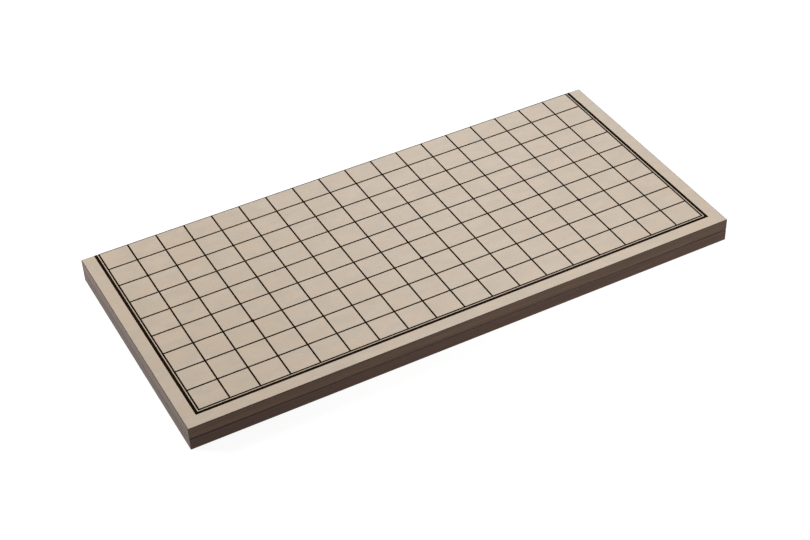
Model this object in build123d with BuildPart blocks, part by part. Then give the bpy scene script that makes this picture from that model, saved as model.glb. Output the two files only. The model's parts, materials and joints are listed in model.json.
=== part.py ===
from build123d import *
from math import atan2
from math import degrees
from math import radians
from math import sqrt
from math import tan
import os

# A folding gomoku board, folded shut with its playing faces outward.
# Two veneered panels lie back to back and turn on two small brass butt hinges let into their
# backs along the fold. Lengths are in millimetres, as the board is made.
# X runs along the fold, Y from the front edge to the fold, Z up from the table.
# The origin is on the table, under the middle of the folded board.

# Playing grid: 19 lines each way, printed half on each panel
line_count = 19
line_pitch_x = 23.7
line_pitch_y = 22.0
line_width = 1.3
fold_line_width = 0.65
border_gap = 0.75
border_width = 2.35
star_diameter = 3.2
star_row = 3
print_thickness = 0.03
margin = 14.2

# Panels
core_thickness = 8.9
veneer_thickness = 0.45
band_thickness = 0.5
edge_chamfer = 0.3
closed_gap = 0.4
open_gap = 0.2

# Hinges
hinge_spacing = 300.0
hinge_length = 30.0
leaf_reach = 12.0
leaf_thickness = 1.0
knuckle_count = 5
knuckle_gap = 0.15
pin_diameter = 1.5
pin_clearance = 0.05
swage_radius = 0.5
seam_angle = 8.0
notch_clearance = 0.3
barrel_clearance = 0.4
mortise_clearance = 0.15

# Screws
screw_diameter = 2.0
screw_length = 7.0
screw_tip_length = 1.5
screw_head_diameter = 3.6
screw_head_angle = 90.0
screw_end_distance = 6.0
screw_clearance = 0.1
head_clearance = 0.05
slot_width = 0.5
slot_depth = 0.4
slot_turn = 35.0

# The printed grid across the board, and the number of rows on one panel
grid_length = (line_count - 1) * line_pitch_x
row_count = (line_count - 1) // 2
half_grid_depth = row_count * line_pitch_y

# The pin axis runs where the backs and the fold edges would meet
fold_y = (half_grid_depth + margin) / 2
front_y = -fold_y
panel_thickness = core_thickness + 2 * veneer_thickness
fold_z = 2 * print_thickness + panel_thickness + closed_gap / 2
fold_plane = Plane.XY.offset(fold_z)

# Levels of the upper panel, from its back to the two films of ink on its playing face
back_z = fold_z + closed_gap / 2
core_z = back_z + veneer_thickness
playing_veneer_z = core_z + core_thickness
row_print_z = back_z + panel_thickness
column_print_z = row_print_z + print_thickness

# Outline of a panel
fold_edge_y = fold_y - open_gap / 2
panel_length = grid_length + 2 * margin
panel_depth = fold_edge_y - front_y
panel_middle_y = (fold_edge_y + front_y) / 2
inner_length = panel_length - 2 * band_thickness
inner_depth = panel_depth - 2 * band_thickness

# Rolled knuckles of the hinges, seen along the pin
pin_radius = pin_diameter / 2
bore_radius = pin_radius + pin_clearance
knuckle_radius = bore_radius + leaf_thickness
leaf_inner = closed_gap / 2
leaf_outer = leaf_inner + leaf_thickness
notch_radius = knuckle_radius + notch_clearance
knuckle_pitch = hinge_length / knuckle_count
hinge_centres = {"left_hinge": -hinge_spacing / 2, "right_hinge": hinge_spacing / 2}

# Screw places on the leaves, and the mortise that takes a leaf
screw_radius = screw_diameter / 2
head_radius = screw_head_diameter / 2
head_depth = (head_radius - screw_radius) / tan(radians(screw_head_angle / 2))
screw_offset_x = hinge_length / 2 - screw_end_distance
screw_y = fold_y - (leaf_reach + notch_radius) / 2
mortise_length = hinge_length + 2 * mortise_clearance
mortise_reach = leaf_reach + mortise_clearance
pilot_depth = screw_length + screw_clearance

os.makedirs("parts", exist_ok=True)


def save(part, label):
    """Name a finished piece and write it to its own file."""
    part.label = label
    export_step(part, f"parts/{label}.step")


def save_pair(upper_part, name):
    """Write an upper piece, and the lower panel's piece as its mirror image in the fold."""
    save(upper_part, f"upper_{name}")
    with BuildPart() as lower:
        mirror(upper_part, about=fold_plane)
    save(lower.part, f"lower_{name}")


def cut_hinge_mortises():
    """Sink both leaf recesses and barrel channels into the upper piece being built."""
    for centre_x in hinge_centres.values():
        with Locations((centre_x, fold_y, fold_z)):
            Box(
                mortise_length,
                mortise_reach,
                leaf_outer,
                align=(Align.CENTER, Align.MAX, Align.MIN),
                mode=Mode.SUBTRACT,
            )
            Cylinder(
                knuckle_radius + barrel_clearance,
                mortise_length,
                rotation=(0, 90, 0),
                mode=Mode.SUBTRACT,
            )


# Outer form of the upper panel, with a small chamfer on every edge
with BuildPart() as panel_form:
    with Locations((0, panel_middle_y, back_z)):
        Box(
            panel_length,
            panel_depth,
            panel_thickness,
            align=(Align.CENTER, Align.CENTER, Align.MIN),
        )
    chamfer(panel_form.edges(), length=edge_chamfer)

# Fibreboard core, with the leaf recesses, barrel channels and screw holes
with BuildPart() as core:
    with Locations((0, panel_middle_y, core_z)):
        Box(
            inner_length,
            inner_depth,
            core_thickness,
            align=(Align.CENTER, Align.CENTER, Align.MIN),
        )
    add(panel_form.part, mode=Mode.INTERSECT)
    cut_hinge_mortises()
    for centre_x in hinge_centres.values():
        with Locations((centre_x, screw_y, back_z)):
            with GridLocations(2 * screw_offset_x, 1, 2, 1):
                Cylinder(
                    screw_radius + screw_clearance,
                    pilot_depth,
                    align=(Align.CENTER, Align.CENTER, Align.MIN),
                    mode=Mode.SUBTRACT,
                )
save_pair(core.part, "core")

# Light veneer of the playing face
with BuildPart() as playing_veneer:
    with Locations((0, panel_middle_y, playing_veneer_z)):
        Box(
            inner_length,
            inner_depth,
            veneer_thickness,
            align=(Align.CENTER, Align.CENTER, Align.MIN),
        )
    add(panel_form.part, mode=Mode.INTERSECT)
save_pair(playing_veneer.part, "playing_veneer")

# Dark veneer of the back, cut out for the hinges
with BuildPart() as back_veneer:
    with Locations((0, panel_middle_y, back_z)):
        Box(
            inner_length,
            inner_depth,
            veneer_thickness,
            align=(Align.CENTER, Align.CENTER, Align.MIN),
        )
    add(panel_form.part, mode=Mode.INTERSECT)
    cut_hinge_mortises()
save_pair(back_veneer.part, "back_veneer")

# Edge bands: the front and fold bands run the whole length, the side bands fit between them
with BuildPart() as front_edge_band:
    with Locations((0, front_y, back_z)):
        Box(
            panel_length,
            band_thickness,
            panel_thickness,
            align=(Align.CENTER, Align.MIN, Align.MIN),
        )
    add(panel_form.part, mode=Mode.INTERSECT)
save_pair(front_edge_band.part, "front_edge_band")

with BuildPart() as fold_edge_band:
    with Locations((0, fold_edge_y, back_z)):
        Box(
            panel_length,
            band_thickness,
            panel_thickness,
            align=(Align.CENTER, Align.MAX, Align.MIN),
        )
    add(panel_form.part, mode=Mode.INTERSECT)
    cut_hinge_mortises()
save_pair(fold_edge_band.part, "fold_edge_band")

for side_name, side_x, side_align in (
    ("left", -panel_length / 2, Align.MIN),
    ("right", panel_length / 2, Align.MAX),
):
    with BuildPart() as side_edge_band:
        with Locations((side_x, panel_middle_y, back_z)):
            Box(
                band_thickness,
                inner_depth,
                panel_thickness,
                align=(side_align, Align.CENTER, Align.MIN),
            )
        add(panel_form.part, mode=Mode.INTERSECT)
    save_pair(side_edge_band.part, f"{side_name}_edge_band")

# The grid is printed in two films of ink that stop where the fold edge's chamfer begins
front_line_y = front_y + margin
print_end_y = fold_edge_y - edge_chamfer
print_depth = print_end_y - front_line_y
border_inner = line_width / 2 + border_gap
border_outer = border_inner + border_width

# First film: the inner lines along the fold
with BuildPart() as row_print:
    with BuildSketch(Plane.XY.offset(row_print_z)):
        with Locations((0, front_line_y + row_count * line_pitch_y / 2)):
            with GridLocations(1, line_pitch_y, 1, row_count - 1):
                Rectangle(grid_length, line_width)
    extrude(amount=print_thickness)
save_pair(row_print.part, "row_print")

# Second film: the lines towards the fold, with the star points, outer lines and thick border
with BuildPart() as column_print:
    with BuildSketch(Plane.XY.offset(column_print_z)):
        with Locations((0, print_end_y)):
            Rectangle(
                grid_length + 2 * border_outer,
                print_depth + border_outer,
                align=(Align.CENTER, Align.MAX),
            )
            Rectangle(
                grid_length + 2 * border_inner,
                print_depth + border_inner,
                align=(Align.CENTER, Align.MAX),
                mode=Mode.SUBTRACT,
            )
            Rectangle(
                grid_length + line_width,
                fold_line_width,
                align=(Align.CENTER, Align.MAX),
            )
            with GridLocations(line_pitch_x, 1, line_count, 1):
                Rectangle(
                    line_width,
                    print_depth + line_width / 2,
                    align=(Align.CENTER, Align.MAX),
                )
        with Locations((0, front_line_y)):
            Rectangle(grid_length + line_width, line_width)
        with Locations((0, front_line_y + star_row * line_pitch_y)):
            with GridLocations(((line_count - 1) / 2 - star_row) * line_pitch_x, 1, 3, 1):
                Circle(star_diameter / 2)
    extrude(amount=print_thickness)
save_pair(column_print.part, "column_print")

# Slotted countersunk screws of the upper leaves, each stopped at its own turn
with BuildPart() as hinge_screws:
    for hinge_index, hinge_x in enumerate(hinge_centres.values()):
        for screw_index, side in enumerate((-1, 1)):
            screw_x = hinge_x + side * screw_offset_x
            screw_axis = Plane(origin=(screw_x, screw_y, back_z), x_dir=(1, 0, 0), z_dir=(0, -1, 0))
            with BuildSketch(screw_axis):
                Polygon(
                    (0, 0),
                    (head_radius, 0),
                    (screw_radius, head_depth),
                    (screw_radius, screw_length - screw_tip_length),
                    (0, screw_length),
                    align=None,
                )
            revolve(axis=Axis((screw_x, screw_y, 0), (0, 0, 1)))
            with Locations((screw_x, screw_y, back_z)):
                Box(
                    screw_head_diameter + slot_width,
                    slot_width,
                    slot_depth,
                    rotation=(0, 0, slot_turn * (1 + screw_index + 2 * hinge_index)),
                    align=(Align.CENTER, Align.CENTER, Align.MIN),
                    mode=Mode.SUBTRACT,
                )
save_pair(hinge_screws.part, "hinge_screws")


def hinge_leaf(centre_x, first_notch):
    """A leaf of the upper panel: brass sheet rolled round the pin, notched from first_notch on."""
    bend_y = sqrt((knuckle_radius + swage_radius) ** 2 - (leaf_outer + swage_radius) ** 2)
    bend_z = leaf_outer + swage_radius
    bend_angle = degrees(atan2(bend_z, -bend_y))
    roll_size = bend_angle + 180 - seam_angle
    pin_axis = Plane(
        origin=(centre_x - hinge_length / 2, fold_y, fold_z),
        x_dir=(0, 1, 0),
        z_dir=(1, 0, 0),
    )
    with BuildPart() as leaf:
        with BuildSketch(pin_axis):
            with BuildLine():
                outer_bend = CenterArc((-bend_y, bend_z), swage_radius, -90, bend_angle - 90)
                outer_roll = CenterArc((0, 0), knuckle_radius, bend_angle, -roll_size)
                inner_roll = CenterArc((0, 0), bore_radius, bend_angle, -roll_size)
                inner_bend = CenterArc(
                    (-bend_y, bend_z), swage_radius + leaf_thickness, -90, bend_angle - 90
                )
                Line(outer_roll @ 1, inner_roll @ 1)
                Polyline(
                    outer_bend @ 0,
                    (-leaf_reach, leaf_outer),
                    (-leaf_reach, leaf_inner),
                    inner_bend @ 0,
                )
            make_face()
        extrude(amount=hinge_length)
        for notch in range(first_notch, knuckle_count, 2):
            notch_x = centre_x + notch * knuckle_pitch - (hinge_length + knuckle_gap) / 2
            with Locations((notch_x, fold_y - notch_radius, fold_z)):
                Box(
                    knuckle_pitch + knuckle_gap,
                    notch_radius + knuckle_radius,
                    2 * knuckle_radius,
                    align=(Align.MIN, Align.MIN, Align.CENTER),
                    mode=Mode.SUBTRACT,
                )
        with Locations(Plane((centre_x, screw_y, back_z), x_dir=(1, 0, 0), z_dir=(0, 0, -1))):
            with GridLocations(2 * screw_offset_x, 1, 2, 1):
                CounterSinkHole(
                    screw_radius + screw_clearance,
                    head_radius + head_clearance,
                    depth=leaf_thickness,
                    counter_sink_angle=screw_head_angle,
                )
    return leaf.part


# The lower leaf takes the first knuckle and every other one, the upper leaf those between them
for hinge_name, hinge_x in hinge_centres.items():
    save(hinge_leaf(hinge_x, 0), f"{hinge_name}_upper_leaf")
    with BuildPart() as lower_leaf:
        mirror(hinge_leaf(hinge_x, 1), about=fold_plane)
    save(lower_leaf.part, f"{hinge_name}_lower_leaf")

    with BuildPart() as pin:
        with Locations((hinge_x, fold_y, fold_z)):
            Cylinder(pin_radius, hinge_length, rotation=(0, 90, 0))
    save(pin.part, f"{hinge_name}_pin")
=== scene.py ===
import json
import math

import bmesh
import bpy
from mathutils import Matrix, Vector


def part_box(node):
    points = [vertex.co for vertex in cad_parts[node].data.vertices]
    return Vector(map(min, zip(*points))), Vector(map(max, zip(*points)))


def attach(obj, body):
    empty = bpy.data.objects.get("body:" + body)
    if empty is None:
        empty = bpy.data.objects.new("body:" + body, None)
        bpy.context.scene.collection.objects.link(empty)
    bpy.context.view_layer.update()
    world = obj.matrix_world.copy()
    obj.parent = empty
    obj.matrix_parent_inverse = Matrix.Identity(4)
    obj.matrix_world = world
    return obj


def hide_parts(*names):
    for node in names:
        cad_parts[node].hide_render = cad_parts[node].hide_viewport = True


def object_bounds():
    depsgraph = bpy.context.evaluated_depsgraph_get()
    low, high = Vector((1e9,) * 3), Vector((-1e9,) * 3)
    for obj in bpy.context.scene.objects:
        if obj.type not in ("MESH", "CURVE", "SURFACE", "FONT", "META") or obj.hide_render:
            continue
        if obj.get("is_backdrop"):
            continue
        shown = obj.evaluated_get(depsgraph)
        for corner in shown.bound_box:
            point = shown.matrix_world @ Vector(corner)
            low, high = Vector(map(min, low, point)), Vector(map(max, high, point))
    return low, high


# Folding gomoku board, folded shut with its printed faces outward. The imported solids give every
# size and place; this script gives them their finishes, prints the grid and fits the brassware.
# Lengths are in metres: X runs along the fold, Y from the front edge to the fold, Z up.
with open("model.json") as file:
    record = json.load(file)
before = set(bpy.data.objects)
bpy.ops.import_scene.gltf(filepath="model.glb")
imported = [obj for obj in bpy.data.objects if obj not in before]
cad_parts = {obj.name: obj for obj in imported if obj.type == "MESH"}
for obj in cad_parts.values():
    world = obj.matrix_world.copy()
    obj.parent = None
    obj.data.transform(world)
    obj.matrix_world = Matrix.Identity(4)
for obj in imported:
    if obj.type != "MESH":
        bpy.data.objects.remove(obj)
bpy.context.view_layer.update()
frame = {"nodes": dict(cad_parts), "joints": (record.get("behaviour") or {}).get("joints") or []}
nodes = frame["nodes"]


# Cores: each panel is built on a board of medium-density fibreboard, recessed for the hinges and
# drilled for their screws. Veneers and bands cover it, so it shows only round the hinges.


def add(tree, kind, values=None, **settings):
    """Put a node in a tree; values are numbers or links for its inputs, by name or by place."""
    node = tree.nodes.new(kind)
    for name, value in settings.items():
        setattr(node, name, value)
    for place, value in (values or {}).items():
        if isinstance(value, bpy.types.NodeSocket):
            tree.links.new(value, node.inputs[place])
        else:
            node.inputs[place].default_value = value
    return node


def sized(tree, vector, *factors):
    """The vector with each part multiplied by its own factor."""
    return add(tree, "ShaderNodeVectorMath", {0: vector, 1: factors}, operation="MULTIPLY").outputs[0]


def spread(tree, value, low, high, to_low=0.0, to_high=1.0):
    """The value stretched so that low and high become the two new ends."""
    ends = {"Value": value, "From Min": low, "From Max": high, "To Min": to_low, "To Max": to_high}
    return add(tree, "ShaderNodeMapRange", ends, interpolation_type="SMOOTHSTEP").outputs[0]


def blended(tree, amount, first, second):
    """First colour turning into the second by the amount."""
    return add(tree, "ShaderNodeMix", {0: amount, 6: first, 7: second}, data_type="RGBA").outputs[2]


def mottled(tree, place, detail, roughness=0.5, distortion=0.0):
    """Soft random patches, about one to each unit of the place."""
    noise = add(tree, "ShaderNodeTexNoise", {"Vector": place, "Scale": 1.0, "Detail": detail})
    noise.inputs["Roughness"].default_value = roughness
    noise.inputs["Distortion"].default_value = distortion
    return noise.outputs[0]


def paint(red, green, blue):
    """A colour given on a 0 to 255 card, as the shader wants it."""
    return [((part / 255 + 0.055) / 1.055) ** 2.4 for part in (red, green, blue)] + [1.0]


def new_material(name):
    """A new material, with its tree, the place of a point on the object, and its shader."""
    material = bpy.data.materials.new(name)
    material.use_nodes = True
    tree = material.node_tree
    place = add(tree, "ShaderNodeTexCoord").outputs["Object"]
    return material, tree, place, tree.nodes["Principled BSDF"]


def relief(tree, shader, height, depth):
    """Raise the surface by the height, up to this depth."""
    bump = add(tree, "ShaderNodeBump", {"Height": height, "Distance": depth, "Strength": 1.0})
    tree.links.new(bump.outputs[0], shader.inputs["Normal"])


def dress(material, *names):
    """Give CAD nodes their finish."""
    for name in names:
        for place in nodes[name].material_slots:
            place.material = material


fibreboard, tree, place, shader = new_material("fibreboard")
strands = mottled(tree, sized(tree, place, 900.0, 900.0, 900.0), detail=6.0, roughness=0.7)
tone = blended(tree, spread(tree, strands, 0.35, 0.65), paint(128, 98, 68), paint(186, 156, 118))
tree.links.new(tone, shader.inputs["Base Color"])
shader.inputs["Roughness"].default_value = 0.9
shader.inputs["Specular IOR Level"].default_value = 0.2
relief(tree, shader, strands, depth=0.00008)
dress(fibreboard, "upper_core", "lower_core")


# Playing faces: each half is faced with pale maple veneer, pressed on and satin lacquered. Both
# faces come from one sheet, so the figure carries on across the fold when the board lies open.
# Every wood of the board shares the figure made here, each at its own size and strength.


def group(name, kind, inputs, outputs):
    """An empty node group with named sockets: the tree, its inputs and its outputs."""
    tree = bpy.data.node_groups.new(name, kind)
    for label, socket_type in inputs.items():
        tree.interface.new_socket(label, in_out="INPUT", socket_type=socket_type)
    for label, socket_type in outputs.items():
        tree.interface.new_socket(label, in_out="OUTPUT", socket_type=socket_type)
    return tree, add(tree, "NodeGroupInput").outputs, add(tree, "NodeGroupOutput")


def reckoned(tree, operation, first, second=0.0):
    """One step of arithmetic on numbers or links."""
    return add(tree, "ShaderNodeMath", {0: first, 1: second}, operation=operation).outputs[0]


def divided(tree, vector, length, width):
    """The vector counted in lengths along X and in widths across it."""
    size = add(tree, "ShaderNodeCombineXYZ", {"X": length, "Y": width, "Z": width}).outputs[0]
    return add(tree, "ShaderNodeVectorMath", {0: vector, 1: size}, operation="DIVIDE").outputs[0]


def faint(tree, mask, strength):
    """The mask at a part of its strength."""
    return spread(tree, mask, 0.0, 1.0, 0.0, strength)


FLOAT = "NodeSocketFloat"
VECTOR = "NodeSocketVector"
wood_figure, given, made = group(
    "wood_figure",
    "ShaderNodeTree",
    {"Vector": VECTOR, "Figure Length": FLOAT, "Figure Width": FLOAT, "Fibre Width": FLOAT},
    {"Figure": FLOAT, "Fibre": FLOAT, "Pores": FLOAT, "Cloud": FLOAT, "Flush": FLOAT},
)
fibre_slimness = 30.0
fibre_length = reckoned(wood_figure, "MULTIPLY", given["Fibre Width"], fibre_slimness)
figure_place = divided(wood_figure, given["Vector"], given["Figure Length"], given["Figure Width"])
fibre_place = divided(wood_figure, given["Vector"], fibre_length, given["Fibre Width"])
pore_place = sized(wood_figure, fibre_place, 4.0, 2.0, 2.0)
cloud_place = sized(wood_figure, given["Vector"], 60.0, 110.0, 110.0)
flush_place = sized(wood_figure, given["Vector"], 55.0, 75.0, 75.0)
for mark, noise, low, high in (
    ("Figure", mottled(wood_figure, figure_place, detail=4.0, roughness=0.55, distortion=0.6), 0.3, 0.7),
    ("Fibre", mottled(wood_figure, fibre_place, detail=3.0), 0.3, 0.7),
    ("Pores", mottled(wood_figure, pore_place, detail=1.0), 0.66, 0.74),
    ("Cloud", mottled(wood_figure, cloud_place, detail=5.0, roughness=0.65), 0.3, 0.7),
    ("Flush", mottled(wood_figure, flush_place, detail=3.0, roughness=0.6), 0.3, 0.7),
):
    wood_figure.links.new(spread(wood_figure, noise, low, high), made.inputs[mark])


def wood(name, figure_length, figure_width, fibre_width=0.0009, turn=0.0, flip=False, sheet=True):
    """A material whose figure runs along X before the turn, the same all through if it is a sheet."""
    material, tree, place, shader = new_material(name)
    fold_y = frame["joints"][0]["pos_m"][1]
    laid = add(
        tree,
        "ShaderNodeMapping",
        {
            "Vector": place,
            "Location": (0.0, 2.0 * fold_y if flip else 0.0, 0.0),
            "Rotation": (0.0, 0.0, turn),
            "Scale": (1.0, -1.0 if flip else 1.0, 0.0 if sheet else 1.0),
        },
    )
    grown = add(
        tree,
        "ShaderNodeGroup",
        {
            "Vector": laid.outputs[0],
            "Figure Length": figure_length,
            "Figure Width": figure_width,
            "Fibre Width": fibre_width,
        },
        node_tree=wood_figure,
    )
    return material, tree, grown.outputs, shader


def lacquer(shader, roughness, gloss, coat, coat_roughness):
    """Satin lacquer over the wood: the same all over, so set on the shader itself."""
    shader.inputs["Roughness"].default_value = roughness
    shader.inputs["Specular IOR Level"].default_value = gloss
    shader.inputs["Coat Weight"].default_value = coat
    shader.inputs["Coat Roughness"].default_value = coat_roughness


maple_pale = paint(196, 182, 165)
maple_warm = paint(182, 164, 141)
maple_dull = paint(187, 173, 156)
maple_flush = paint(202, 178, 155)
maple_fleck = paint(145, 121, 97)
for half, flip in (("upper", False), ("lower", True)):
    maple, tree, grown, shader = wood(
        f"{half}_maple_veneer",
        figure_length=0.05,
        figure_width=0.014,
        flip=flip,
    )
    tone = maple_pale
    for mark, strength, colour in (
        ("Figure", 0.35, maple_warm),
        ("Cloud", 0.9, maple_dull),
        ("Flush", 0.45, maple_flush),
        ("Fibre", 0.1, maple_warm),
        ("Pores", 0.25, maple_fleck),
    ):
        tone = blended(tree, faint(tree, grown[mark], strength), tone, colour)
    tree.links.new(tone, shader.inputs["Base Color"])
    lacquer(shader, roughness=0.5, gloss=0.25, coat=0.12, coat_roughness=0.4)
    relief(tree, shader, grown["Fibre"], depth=0.000008)
    dress(maple, f"{half}_playing_veneer")


# Backs: the faces that meet when the board is shut carry a dark brown stained veneer, pressed on and
# satin lacquered. The hinge leaves are let into it.
stain_deep = paint(62, 41, 29)
stain_light = paint(98, 68, 49)
stain_pore = paint(36, 24, 17)
for half, flip in (("upper", False), ("lower", True)):
    stained, tree, grown, shader = wood(
        f"{half}_stained_veneer",
        figure_length=0.12,
        figure_width=0.011,
        flip=flip,
    )
    tone = blended(tree, grown["Figure"], stain_deep, stain_light)
    tone = blended(tree, faint(tree, grown["Fibre"], 0.5), tone, stain_deep)
    tone = blended(tree, grown["Pores"], tone, stain_pore)
    tree.links.new(tone, shader.inputs["Base Color"])
    lacquer(shader, roughness=0.5, gloss=0.3, coat=0.25, coat_roughness=0.35)
    relief(tree, shader, grown["Fibre"], depth=0.00003)
    dress(stained, f"{half}_back_veneer")


# Edge bands: thin strips of dark brown stained wood are glued round the four edges of each panel.
# Their grain runs along the edge and the same satin lacquer covers them. Each band is painted
# darker along both of its arrises, as painted shade for the dark seam where the halves meet.
# Painted shade: a mask that rises towards both arrises of a band, by its height in the band.
arris_shading, given, made = group(
    "arris_shading",
    "ShaderNodeTree",
    {"Vector": VECTOR, "Middle": FLOAT, "Half Height": FLOAT, "Shade From": FLOAT, "Shade By": FLOAT},
    {"Arris Shade": FLOAT},
)
height = add(arris_shading, "ShaderNodeSeparateXYZ", {0: given["Vector"]}).outputs["Z"]
from_middle = reckoned(arris_shading, "SUBTRACT", height, given["Middle"])
off_middle = reckoned(arris_shading, "ABSOLUTE", from_middle)
shade_from = reckoned(arris_shading, "SUBTRACT", given["Half Height"], given["Shade From"])
shade_by = reckoned(arris_shading, "SUBTRACT", given["Half Height"], given["Shade By"])
shade_strength = 0.85
arris_shade = spread(arris_shading, off_middle, shade_from, shade_by, 0.0, shade_strength)
arris_shading.links.new(arris_shade, made.inputs["Arris Shade"])

# Lit and shaded copies of one stain: the upper half's bands are painted lighter and the lower half's
# darker, as painted shade for the lower band lying near the floor.
lit_and_shaded_band_tones = {
    "upper": (paint(80, 60, 47), paint(100, 76, 59)),
    "lower": (paint(67, 47, 37), paint(85, 59, 46)),
}
# The near-black brown of the painted shade at the arrises.
arris_shade_colour = paint(42, 19, 7)
runs = (("long", 0.0, ("front", "fold")), ("short", math.pi / 2, ("left", "right")))
for half, (band_deep, band_light) in lit_and_shaded_band_tones.items():
    low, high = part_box(f"{half}_front_edge_band")
    for direction, turn, sides in runs:
        banding, tree, grown, shader = wood(
            f"{half}_{direction}_edge_banding",
            figure_length=0.14,
            figure_width=0.004,
            fibre_width=0.0006,
            turn=turn,
            sheet=False,
        )
        tone = blended(tree, grown["Figure"], band_deep, band_light)
        tone = blended(tree, faint(tree, grown["Fibre"], 0.4), tone, band_deep)
        tone = blended(tree, faint(tree, grown["Pores"], 0.6), tone, stain_pore)
        arrises = add(
            tree,
            "ShaderNodeGroup",
            {
                "Vector": add(tree, "ShaderNodeTexCoord").outputs["Object"],
                "Middle": (low.z + high.z) / 2,
                "Half Height": (high.z - low.z) / 2,
                "Shade From": 0.0009,
                "Shade By": 0.00018,
            },
            node_tree=arris_shading,
        )
        # Painted shade: the band's colour is darkened towards its arrises.
        tone = blended(tree, arrises.outputs["Arris Shade"], tone, arris_shade_colour)
        tree.links.new(tone, shader.inputs["Base Color"])
        lacquer(shader, roughness=0.45, gloss=0.21, coat=0.0, coat_roughness=0.35)
        relief(tree, shader, grown["Fibre"], depth=0.00003)
        dress(banding, *(f"{half}_{side}_edge_band" for side in sides))


# Printed grid: one film of brown-black ink, screen-printed on each face. It has 19 lines towards the
# fold, 9 along it and half a line where the face ends, three star points, and a thick border outside
# a thin gap on three sides.
ink, tree, place, shader = new_material("screen_ink")
cover = mottled(tree, sized(tree, place, 700.0, 700.0, 700.0), detail=3.0)
pull = mottled(tree, sized(tree, place, 14.0, 60.0, 60.0), detail=4.0)
tone = blended(tree, spread(tree, pull, 0.3, 0.7), paint(25, 16, 6), paint(36, 25, 12))
tone = blended(tree, spread(tree, cover, 0.6, 0.75, 0.0, 0.5), tone, paint(46, 34, 20))
tree.links.new(tone, shader.inputs["Base Color"])
tree.links.new(spread(tree, cover, 0.2, 0.8, 0.55, 0.75), shader.inputs["Roughness"])
shader.inputs["Specular IOR Level"].default_value = 0.0
relief(tree, shader, cover, depth=0.00001)

line_sizes = {
    "Lines": 19,
    "Rows": 9,
    "Pitch Along": 0.0237,
    "Pitch Across": 0.022,
    "Line Width": 0.0013,
    "Fold Line Width": 0.00065,
    "Border Gap": 0.00075,
    "Border Width": 0.00235,
    "Star Diameter": 0.0032,
    "Star Row": 3,
}
stars_in_half = 3
star_sides = 40
weld_distance = 0.000002
INTEGER = "NodeSocketInt"
line_grid, given, made = group(
    "line_grid",
    "GeometryNodeTree",
    {
        **{name: INTEGER if isinstance(size, int) else FLOAT for name, size in line_sizes.items()},
        "Front Line": FLOAT,
        "Print End": FLOAT,
        "Film Bottom": FLOAT,
        "Film Top": FLOAT,
        "Ink": "NodeSocketMaterial",
    },
    {"Geometry": "NodeSocketGeometry"},
)


def worked(operation, first, second):
    """One step of the grid's arithmetic."""
    return reckoned(line_grid, operation, first, second)


def vector(x=0.0, y=0.0, z=0.0):
    """Three numbers or links made into one place or size."""
    return add(line_grid, "ShaderNodeCombineXYZ", {"X": x, "Y": y, "Z": z}).outputs[0]


def repeated(tree, points, piece):
    """The piece once at every point."""
    return add(tree, "GeometryNodeInstanceOnPoints", {"Points": points, "Instance": piece}).outputs[0]


def bars(size, count, start, step):
    """Equal bars of ink in a row."""
    bar = add(line_grid, "GeometryNodeMeshCube", {"Size": size})
    line = add(line_grid, "GeometryNodeMeshLine", {"Count": count, "Start Location": start, "Offset": step})
    return repeated(line_grid, line.outputs[0], bar.outputs[0])


film = worked("SUBTRACT", given["Film Top"], given["Film Bottom"])
level = worked("DIVIDE", worked("ADD", given["Film Top"], given["Film Bottom"]), 2.0)
half_pitch = worked("DIVIDE", given["Pitch Along"], 2.0)
half_length = worked("MULTIPLY", worked("SUBTRACT", given["Lines"], 1.0), half_pitch)
half_line = worked("DIVIDE", given["Line Width"], 2.0)
line_length = worked("ADD", worked("MULTIPLY", half_length, 2.0), given["Line Width"])
front_side = worked("SUBTRACT", given["Front Line"], half_line)
border_inside = worked("ADD", half_line, given["Border Gap"])
border_middle = worked("ADD", border_inside, worked("DIVIDE", given["Border Width"], 2.0))
border_outside = worked("ADD", border_inside, given["Border Width"])
border_x = worked("ADD", half_length, border_middle)
border_span = worked("MULTIPLY", border_x, 2.0)
border_front = worked("SUBTRACT", given["Front Line"], border_outside)
middle_line = worked("DIVIDE", worked("SUBTRACT", given["Lines"], 1.0), 2.0)
star_step = worked("MULTIPLY", worked("SUBTRACT", middle_line, given["Star Row"]), given["Pitch Along"])
star_y = worked("ADD", given["Front Line"], worked("MULTIPLY", given["Star Row"], given["Pitch Across"]))

across = bars(
    vector(given["Line Width"], worked("SUBTRACT", given["Print End"], front_side), film),
    given["Lines"],
    vector(
        worked("MULTIPLY", half_length, -1.0),
        worked("DIVIDE", worked("ADD", given["Print End"], front_side), 2.0),
        level,
    ),
    vector(x=given["Pitch Along"]),
)
along = bars(
    vector(line_length, given["Line Width"], film),
    given["Rows"],
    vector(0.0, given["Front Line"], level),
    vector(y=given["Pitch Across"]),
)
fold_line = bars(
    vector(line_length, given["Fold Line Width"], film),
    1,
    vector(
        0.0,
        worked("SUBTRACT", given["Print End"], worked("DIVIDE", given["Fold Line Width"], 2.0)),
        level,
    ),
    vector(),
)
side_border = bars(
    vector(given["Border Width"], worked("SUBTRACT", given["Print End"], border_front), film),
    2,
    vector(
        worked("MULTIPLY", border_x, -1.0),
        worked("DIVIDE", worked("ADD", given["Print End"], border_front), 2.0),
        level,
    ),
    vector(x=border_span),
)
front_border = bars(
    vector(worked("ADD", border_span, given["Border Width"]), given["Border Width"], film),
    1,
    vector(0.0, worked("SUBTRACT", given["Front Line"], border_middle), level),
    vector(),
)
star = add(
    line_grid,
    "GeometryNodeMeshCylinder",
    {"Vertices": star_sides, "Radius": worked("DIVIDE", given["Star Diameter"], 2.0), "Depth": film},
)
star_line = add(
    line_grid,
    "GeometryNodeMeshLine",
    {
        "Count": stars_in_half,
        "Start Location": vector(worked("MULTIPLY", star_step, -1.0), star_y, level),
        "Offset": vector(x=star_step),
    },
)
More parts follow.
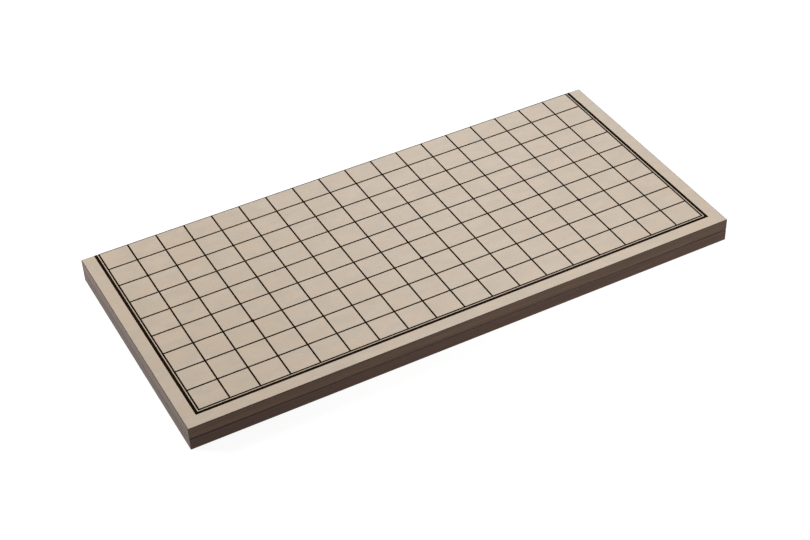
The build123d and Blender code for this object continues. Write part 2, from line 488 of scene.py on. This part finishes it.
stars = repeated(line_grid, star_line.outputs[0], star.outputs[0])
one_film = add(
    line_grid,
    "GeometryNodeMeshBoolean",
    {"Self Intersection": True},
    operation="UNION",
    solver="EXACT",
)
for part in (across, along, fold_line, side_border, front_border, stars):
    whole = add(line_grid, "GeometryNodeRealizeInstances", {"Geometry": part})
    line_grid.links.new(whole.outputs[0], one_film.inputs["Mesh 2"])
welded = add(
    line_grid,
    "GeometryNodeMergeByDistance",
    {"Geometry": one_film.outputs[0], "Distance": weld_distance},
)
inked = add(line_grid, "GeometryNodeSetMaterial", {"Geometry": welded.outputs[0], "Material": given["Ink"]})
line_grid.links.new(inked.outputs[0], made.inputs[0])


def new_object(name, data):
    """A new object in the scene."""
    thing = bpy.data.objects.new(name, data)
    bpy.context.scene.collection.objects.link(thing)
    return thing


def settled(piece):
    """The piece's mesh with its modifiers worked in, which are then taken off it."""
    evaluated = piece.evaluated_get(bpy.context.evaluated_depsgraph_get())
    mesh = bpy.data.meshes.new_from_object(evaluated)
    piece.modifiers.clear()
    return mesh


def grown_piece(name, tree, values, body, replaced):
    """Work a geometry tree out into a plain mesh that rides on a body and stands for its nodes."""
    piece = new_object(name, bpy.data.meshes.new(f"{name}_seed"))
    growth = piece.modifiers.new(name, "NODES")
    growth.node_group = tree
    for socket in tree.interface.items_tree:
        if socket.in_out == "INPUT":
            growth[socket.identifier] = values[socket.name]
    bpy.context.view_layer.update()
    piece.data = settled(piece)
    piece.data.name = name
    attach(piece, body)
    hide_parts(*replaced)


border_reach = line_sizes["Line Width"] / 2 + line_sizes["Border Gap"] + line_sizes["Border Width"]
for half in ("upper", "lower"):
    row_low, row_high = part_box(f"{half}_row_print")
    column_low, column_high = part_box(f"{half}_column_print")
    grown_piece(
        f"{half}_printed_grid",
        line_grid,
        {
            **line_sizes,
            "Front Line": column_low.y + border_reach,
            "Print End": column_high.y,
            "Film Bottom": min(row_low.z, column_low.z),
            "Film Top": max(row_high.z, column_high.z),
            "Ink": ink,
        },
        f"{half}_half",
        (f"{half}_row_print", f"{half}_column_print"),
    )


# Hinge leaves: each is a strip of brass sheet, notched, drilled and rolled round the pin, and screwed
# into its recess. The solids' sharp edges are eased here as barrel-tumbling eases them.
drawn_streaks, given, made = group(
    "drawn_streaks",
    "ShaderNodeTree",
    {"Vector": VECTOR, "Streaks Per Metre": VECTOR},
    {"Streaks": FLOAT},
)
streak_place = add(
    drawn_streaks,
    "ShaderNodeVectorMath",
    {0: given["Vector"], 1: given["Streaks Per Metre"]},
    operation="MULTIPLY",
)
drawn_streaks.links.new(mottled(drawn_streaks, streak_place.outputs[0], detail=3.0), made.inputs["Streaks"])


def streaked(tree, place, *per_metre):
    """The fine streaks that drawing leaves in metal, along X."""
    values = {"Vector": place, "Streaks Per Metre": per_metre}
    return add(tree, "ShaderNodeGroup", values, node_tree=drawn_streaks).outputs["Streaks"]


brass, tree, place, shader = new_material("satin_brass")
streaks = streaked(tree, place, 120.0, 5000.0, 5000.0)
patina = mottled(tree, sized(tree, place, 260.0, 260.0, 260.0), detail=5.0)
tone = blended(tree, spread(tree, patina, 0.35, 0.75), paint(190, 158, 100), paint(154, 123, 73))
tree.links.new(tone, shader.inputs["Base Color"])
shader.inputs["Metallic"].default_value = 1.0
tree.links.new(spread(tree, streaks, 0.2, 0.8, 0.3, 0.45), shader.inputs["Roughness"])
relief(tree, shader, streaks, depth=0.000006)

edge_round = 0.00008
for side in ("left", "right"):
    for half in ("upper", "lower"):
        name = f"{side}_hinge_{half}_leaf"
        mesh = nodes[name].data.copy()
        form = bmesh.new()
        form.from_mesh(mesh)
        bmesh.ops.remove_doubles(form, verts=form.verts, dist=1e-6)
        bmesh.ops.dissolve_limit(form, angle_limit=math.radians(1), verts=form.verts, edges=form.edges)
        form.to_mesh(mesh)
        form.free()
        mesh.shade_smooth()
        leaf = new_object(f"{name}_eased", mesh)
        tumbling = leaf.modifiers.new("tumbling", "BEVEL")
        tumbling.width = edge_round
        tumbling.segments = 2
        tumbling.limit_method = "ANGLE"
        tumbling.angle_limit = math.radians(35)
        flat_faces = leaf.modifiers.new("flat_faces", "WEIGHTED_NORMAL")
        flat_faces.weight = 100
        leaf.data = settled(leaf)
        leaf.data.name = f"{name}_eased"
        leaf.data.materials.clear()
        leaf.data.materials.append(brass)
        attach(leaf, f"{half}_half")
        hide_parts(name)


# Hinge pins: a length of drawn steel wire runs through each row of knuckles, cut to the length of the
# hinge, with its cut ends a little rounded.
steel, tree, place, shader = new_material("drawn_steel")
streaks = streaked(tree, place, 200.0, 6000.0, 6000.0)
tone = blended(tree, spread(tree, streaks, 0.3, 0.7), paint(170, 168, 164), paint(140, 138, 134))
tree.links.new(tone, shader.inputs["Base Color"])
shader.inputs["Metallic"].default_value = 1.0
tree.links.new(spread(tree, streaks, 0.2, 0.8, 0.22, 0.38), shader.inputs["Roughness"])
relief(tree, shader, streaks, depth=0.000005)


def turned(form, profile, sides):
    """Turn a profile of radius and height pairs round the Z axis, closed at both ends."""
    rings = []
    for radius, height in profile:
        if radius == 0.0:
            rings.append([form.verts.new((0.0, 0.0, height))])
            continue
        angles = [2.0 * math.pi * step / sides for step in range(sides)]
        rings.append([form.verts.new((radius * math.cos(a), radius * math.sin(a), height)) for a in angles])
    for first, second in zip(rings, rings[1:]):
        for step in range(sides):
            after = (step + 1) % sides
            corners = [first[step % len(first)], first[after % len(first)]]
            corners += [second[after % len(second)], second[step % len(second)]]
            form.faces.new(dict.fromkeys(corners))


def finished(form, name):
    """The form as a mesh, its faces turned outwards."""
    bmesh.ops.recalc_face_normals(form, faces=form.faces)
    mesh = bpy.data.meshes.new(name)
    form.to_mesh(mesh)
    form.free()
    return mesh


pin_break = 0.0002
pin_sides = 32
for side in ("left", "right"):
    low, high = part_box(f"{side}_hinge_pin")
    radius = (high.y - low.y) / 2
    length = high.x - low.x
    form = bmesh.new()
    turned(
        form,
        [
            (0.0, 0.0),
            (radius - pin_break, 0.0),
            (radius, pin_break),
            (radius, length - pin_break),
            (radius - pin_break, length),
            (0.0, length),
        ],
        pin_sides,
    )
    left_end = Matrix.Translation((low.x, (low.y + high.y) / 2, (low.z + high.z) / 2))
    form.transform(left_end @ Matrix.Rotation(math.pi / 2, 4, "Y"))
    mesh = finished(form, f"{side}_pin")
    mesh.materials.append(steel)
    mesh.shade_smooth()
    mesh.set_sharp_from_angle(angle=math.radians(40))
    pin = new_object(f"{side}_pin", mesh)
    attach(pin, "lower_half")
    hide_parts(f"{side}_hinge_pin")


# Hinge screws: two countersunk brass wood screws hold each leaf, turned with a slot and a rolled
# thread. They are driven flush with the leaf, and each has stopped at its own turn.
turned_brass = brass.copy()
turned_brass.name = "turned_brass"
head_radius = 0.0018
head_break = 0.00006
head_depth = 0.0008
head_sides = 48
neck_radius = 0.001
root_radius = 0.00078
slot_width = 0.0005
slot_depth = 0.0004
slot_turn = math.radians(35)
thread_start = 0.0014
thread_pitch = 0.00085
thread_steps = 20
thread_sink = 0.00006
thread_height = 0.00028
thread_half_width = 0.0002
thread_least_rise = 0.1
screw_length = 0.007
tip_length = 0.0015
hinge_spacing = 0.3
screw_spacing = 0.018

form = bmesh.new()
turned(
    form,
    [
        (0.0, 0.0),
        (head_radius - 2 * head_break, 0.0),
        (head_radius - head_break, head_break),
        (neck_radius, head_depth),
        (root_radius, thread_start),
        (root_radius, screw_length - tip_length),
        (0.0, screw_length),
    ],
    head_sides,
)
screw = new_object("screw_blank", finished(form, "screw_blank"))

form = bmesh.new()
bmesh.ops.create_cube(form, size=1.0)
form.transform(Matrix.Diagonal((4 * head_radius, slot_width, 2 * slot_depth, 1.0)))
cutter = new_object("slot_cutter", finished(form, "slot_cutter"))
slotting = screw.modifiers.new("slot", "BOOLEAN")
slotting.operation = "DIFFERENCE"
slotting.solver = "EXACT"
slotting.object = cutter
slotted = settled(screw)
bpy.data.objects.remove(cutter)

# The thread is a ridge wound round the shank, rising out of it at one end and running out at the tip.
form = bmesh.new()
form.from_mesh(slotted)
turns = (screw_length - tip_length / 2 - thread_start) / thread_pitch
last = int(turns * thread_steps)
ridge = []
for step in range(last + 1):
    angle = 2.0 * math.pi * step / thread_steps
    height = thread_start + thread_pitch * step / thread_steps
    past_taper = max(0.0, height - (screw_length - tip_length)) / tip_length
    root = root_radius * (1.0 - past_taper) - thread_sink
    rise = max(thread_least_rise, min(1.0, step / thread_steps, (last - step) / thread_steps))
    crest = root + thread_height * rise
    section = []
    for radius, offset in ((root, -thread_half_width), (crest, 0.0), (root, thread_half_width)):
        corner = (radius * math.cos(angle), radius * math.sin(angle), height + offset)
        section.append(form.verts.new(corner))
    ridge.append(section)
for first, second in zip(ridge, ridge[1:]):
    for corner in range(3):
        after = (corner + 1) % 3
        form.faces.new((first[corner], first[after], second[after], second[corner]))
form.faces.new(ridge[0])
form.faces.new(ridge[-1])
screw.data = finished(form, "threaded_screw")
screw.data.shade_smooth()
screw.data.set_sharp_from_angle(angle=math.radians(35))

screw_places, given, made = group(
    "screw_places",
    "GeometryNodeTree",
    {
        "Screw": "NodeSocketObject",
        "Hinge Spacing": FLOAT,
        "Screw Spacing": FLOAT,
        "Screw Line": FLOAT,
        "Leaf Face": FLOAT,
        "Tilt": FLOAT,
        "Turn": FLOAT,
        "Brass": "NodeSocketMaterial",
    },
    {"Geometry": "NodeSocketGeometry"},
)


def pair(spacing, y, z):
    """Two points, this far apart along X."""
    left_x = reckoned(screw_places, "DIVIDE", spacing, -2.0)
    start = add(screw_places, "ShaderNodeCombineXYZ", {"X": left_x, "Y": y, "Z": z})
    step = add(screw_places, "ShaderNodeCombineXYZ", {"X": spacing})
    places = {"Count": 2, "Start Location": start.outputs[0], "Offset": step.outputs[0]}
    return add(screw_places, "GeometryNodeMeshLine", places).outputs[0]


hinge_points = pair(given["Hinge Spacing"], given["Screw Line"], given["Leaf Face"])
leaf_points = pair(given["Screw Spacing"], 0.0, 0.0)
paired = repeated(screw_places, hinge_points, leaf_points)
points = add(screw_places, "GeometryNodeRealizeInstances", {"Geometry": paired})
number = reckoned(screw_places, "ADD", add(screw_places, "GeometryNodeInputIndex").outputs[0], 1.0)
turn = reckoned(screw_places, "MULTIPLY", number, given["Turn"])
attitude = add(screw_places, "ShaderNodeCombineXYZ", {"X": given["Tilt"], "Z": turn})
one_screw = add(
    screw_places,
    "GeometryNodeObjectInfo",
    {"Object": given["Screw"]},
    transform_space="ORIGINAL",
)
driven = add(
    screw_places,
    "GeometryNodeInstanceOnPoints",
    {
        "Points": points.outputs[0],
        "Instance": one_screw.outputs["Geometry"],
        "Rotation": attitude.outputs[0],
    },
)
solid = add(screw_places, "GeometryNodeRealizeInstances", {"Geometry": driven.outputs[0]})
dressed = add(
    screw_places,
    "GeometryNodeSetMaterial",
    {"Geometry": solid.outputs[0], "Material": given["Brass"]},
)
screw_places.links.new(dressed.outputs[0], made.inputs[0])

for half, tilt in (("upper", 0.0), ("lower", math.pi)):
    low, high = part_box(f"{half}_hinge_screws")
    grown_piece(
        f"{half}_screws",
        screw_places,
        {
            "Screw": screw,
            "Hinge Spacing": hinge_spacing,
            "Screw Spacing": screw_spacing,
            "Screw Line": (low.y + high.y) / 2,
            "Leaf Face": high.z if half == "lower" else low.z,
            "Tilt": tilt,
            "Turn": slot_turn,
            "Brass": turned_brass,
        },
        f"{half}_half",
        (f"{half}_hinge_screws",),
    )
bpy.data.objects.remove(screw)


# Studio: a plain white floor, a dim white surround and three soft lamps, one in front, one high
# behind the board and one on its left. The floor keeps the board's shadow.


def background_rays(tree):
    """1 for rays that show the background: straight to the camera, reflected or refracted."""
    path = add(tree, "ShaderNodeLightPath").outputs
    shown = reckoned(tree, "MAXIMUM", path["Is Camera Ray"], path["Is Glossy Ray"])
    return reckoned(tree, "MAXIMUM", shown, path["Is Transmission Ray"])


world = bpy.data.worlds.new("surround")
world.use_nodes = True
bpy.context.scene.world = world
tree = world.node_tree
fill = 0.15
surround = tree.nodes["Background"]
surround.inputs["Color"].default_value = (1.0, 1.0, 1.0, 1.0)
tree.links.new(spread(tree, background_rays(tree), 0.0, 1.0, fill, 1.0), surround.inputs["Strength"])

paper, tree, place, shader = new_material("white_paper")
tree.nodes.remove(shader)
paper_grey = (0.35, 0.35, 0.35, 1.0)
lit = add(tree, "ShaderNodeBsdfDiffuse", {"Color": paper_grey})
from_board = add(tree, "ShaderNodeVectorMath", {0: place}, operation="LENGTH").outputs["Value"]
near_white = 0.83
white = spread(tree, from_board, 0.35, 1.1, near_white, 1.0)
shown_white = reckoned(tree, "MULTIPLY", background_rays(tree), white)
glow = add(tree, "ShaderNodeEmission", {"Strength": shown_white})
both = add(tree, "ShaderNodeAddShader", {0: lit.outputs[0], 1: glow.outputs[0]})
tree.links.new(both.outputs[0], tree.nodes["Material Output"].inputs["Surface"])

reach = 4.0
corners = [(-reach, -reach, 0.0), (reach, -reach, 0.0), (reach, reach, 0.0), (-reach, reach, 0.0)]
floor_mesh = bpy.data.meshes.new("floor")
floor_mesh.from_pydata(corners, [], [(0, 1, 2, 3)])
floor_mesh.materials.append(paper)
floor = new_object("floor", floor_mesh)
floor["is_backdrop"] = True

for name, place, size, power in (
    ("front_lamp", Vector((0.35, -0.6, 0.4)), 0.4, 3.55),
    ("back_lamp", Vector((0.6, 0.9, 0.8)), 0.6, 7.3),
    ("left_lamp", Vector((-0.9, 0.6, 0.5)), 0.6, 11.0),
):
    lamp = bpy.data.lights.new(name, "AREA")
    lamp.shape = "SQUARE"
    lamp.size = size
    lamp.energy = power
    stand = new_object(name, lamp)
    stand.location = place
    stand.rotation_euler = (-place).to_track_quat("-Z", "Y").to_euler()


# Camera: the view is from in front of the board's left corner, looking down on it through a portrait
# lens. Its place and turn were worked out from the crossings of the printed grid.
lens = bpy.data.cameras.new("camera")
lens.sensor_width = 36.0
lens.lens = 75.484
camera = new_object("camera", lens)
camera.location = (-0.46455, -0.91397, 0.84553)
camera.rotation_euler = [math.radians(angle) for angle in (50.1151, 1.8618, -28.4099)]
bpy.context.scene.camera = camera

bpy.context.scene.view_settings.view_transform = "Standard"

low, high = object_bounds()
